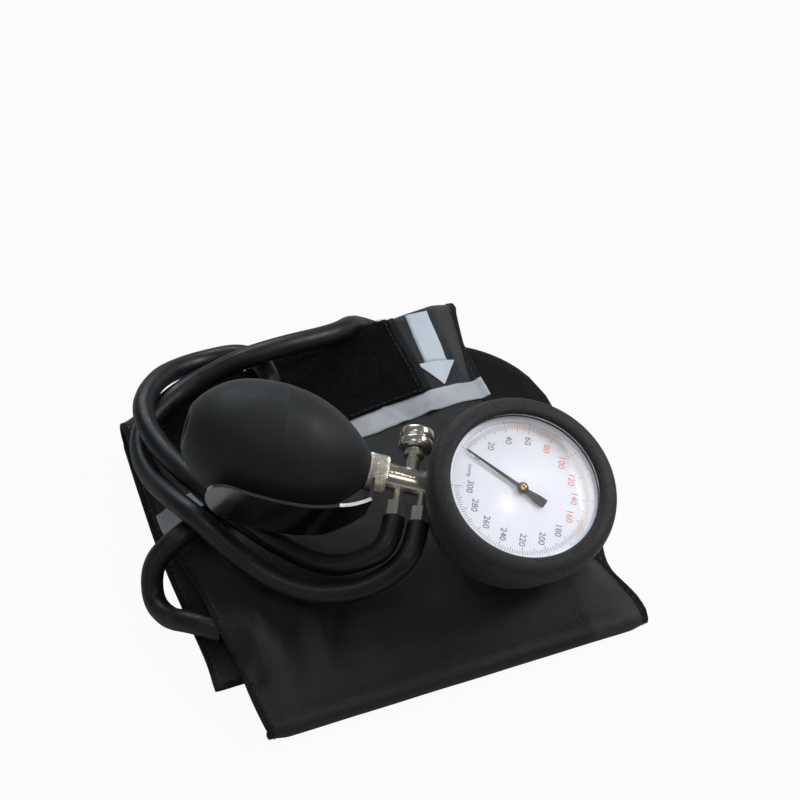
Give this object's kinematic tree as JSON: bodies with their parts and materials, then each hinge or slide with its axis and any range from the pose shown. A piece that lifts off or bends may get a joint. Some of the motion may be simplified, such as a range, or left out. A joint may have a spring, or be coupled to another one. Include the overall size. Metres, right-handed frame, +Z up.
{
  "type": "aneroid sphygmomanometer",
  "caption": "Hand-held blood pressure meter: round dial gauge in a rubber bumper, chrome release valve, squeeze bulb with finger spoon, and a folded fabric arm cuff joined by looped hoses.",
  "frame": {"origin": "on the rest surface, under the middle of the whole without its hoses", "axes": "+X across the cuff's width, +Y from the folded front edge to the back fold, +Z up"},
  "size_m": [0.1748, 0.1718, 0.0832],
  "materials": {
    "bumper_rubber": "matt moulded rubber",
    "case_metal": "black enamel",
    "clear_cover": "clear domed plastic",
    "seal_rubber": "matt rubber",
    "bezel_chrome": "polished",
    "dial_white": "matt white print",
    "pointer_black": "matt black",
    "brass_plain": "turned",
    "spring_bronze": "drawn wire",
    "steel_plain": "turned",
    "capsule_copper": "pressed copper alloy",
    "valve_chrome": "polished chrome",
    "spoon_chrome": "polished sheet",
    "bulb_rubber": "smooth satin rubber",
    "screen_steel": "fine mesh",
    "cuff_nylon": "black coated nylon",
    "bladder_rubber": "soft rubber",
    "pile_fabric": "black napped pile",
    "hook_fabric": "black hooks",
    "white_print": "white woven print",
    "port_rubber": "satin rubber",
    "hose_rubber": "satin rubber"
  },
  "bodies": {
    "instrument": {"rubber_bumper": "bumper_rubber", "gauge_case": "case_metal", "crystal": "clear_cover", "glass_seat": "seal_rubber", "bezel_ring": "bezel_chrome", "dial_plate": "dial_white", "dial_shelf": "case_metal", "hairspring": "spring_bronze", "rocker_bearings": "brass_plain", "movement_frame": "brass_plain", "movement_top_plate": "brass_plain", "movement_screws": "steel_plain", "pressure_capsule": "capsule_copper", "inlet_stud": "brass_plain", "valve_body": "valve_chrome", "hose_nut_one": "valve_chrome", "hose_nut_two": "valve_chrome", "knurled_collar": "valve_chrome", "bulb_fitting": "valve_chrome", "release_bonnet": "valve_chrome", "finger_spoon": "spoon_chrome", "squeeze_bulb": "bulb_rubber", "inlet_valve_body": "valve_chrome", "inlet_screen": "screen_steel", "cuff_cover": "cuff_nylon", "bladder": "bladder_rubber", "loop_patch": "pile_fabric", "hook_patch": "hook_fabric", "index_stripe": "white_print", "artery_arrow": "white_print", "side_tube_port": "port_rubber", "back_tube_port": "port_rubber", "hose_one": "hose_rubber", "hose_two": "hose_rubber"},
    "sector": {"sector_gear": "brass_plain"},
    "pointer_arbor": {"pinion_arbor": "brass_plain", "pointer": "pointer_black", "pointer_hub": "brass_plain"},
    "capsule_pin": {"capsule_post": "steel_plain"},
    "rocker": {"rocker_shaft": "steel_plain"},
    "needle": {"release_needle": "steel_plain"},
    "knob": {"release_knob": "valve_chrome"},
    "outlet_valve": {"outlet_flap": "seal_rubber"},
    "inlet_valve": {"inlet_flap": "seal_rubber"}
  },
  "joints": [
    {"name": "sector_swing", "type": "hinge", "parent": "instrument", "child": "sector", "pos_m": [0.0299, -0.05668, 0.0377], "axis": [0.1289, -0.3624, 0.9231], "range_deg": [0, 54]},
    {"name": "pointer_turn", "type": "hinge", "parent": "instrument", "child": "pointer_arbor", "pos_m": [0.03693, -0.0443, 0.04158], "axis": [0.1289, -0.3624, 0.9231], "range_deg": [-325, 0]},
    {"name": "post_lift", "type": "slide", "parent": "instrument", "child": "capsule_pin", "axis": [0.1289, -0.3624, 0.9231], "range_m": [0, 0.00092]},
    {"name": "rocker_rock", "type": "hinge", "parent": "instrument", "child": "rocker", "pos_m": [0.02929, -0.03913, 0.03894], "axis": [-0.4761, -0.8391, -0.2629], "range_deg": [0, 6.6]},
    {"name": "needle_lift", "type": "slide", "parent": "instrument", "child": "needle", "axis": [0.4761, 0.8391, 0.2629], "range_m": [0, 0.0007003]},
    {"name": "knob_turn", "type": "hinge", "parent": "needle", "child": "knob", "pos_m": [0.01151, -0.01305, 0.04874], "axis": [0.4761, 0.8391, 0.2629], "range_deg": [0, 360]},
    {"name": "outlet_flap_lift", "type": "slide", "parent": "instrument", "child": "outlet_valve", "axis": [0.8699, -0.4056, -0.2807], "range_m": [0, 0.0012]},
    {"name": "inlet_flap_lift", "type": "slide", "parent": "instrument", "child": "inlet_valve", "axis": [0.8699, -0.4056, -0.2807], "range_m": [0, 0.001]}
  ],
  "couplings": [
    {"joint": "pointer_turn", "follows": "sector_swing", "ratio": -6},
    {"joint": "post_lift", "follows": "sector_swing", "m_per_rad": 0.00095493},
    {"joint": "rocker_rock", "follows": "sector_swing", "ratio": 0.11962},
    {"joint": "needle_lift", "follows": "knob_turn", "m_per_rad": 0.00011141}
  ]
}
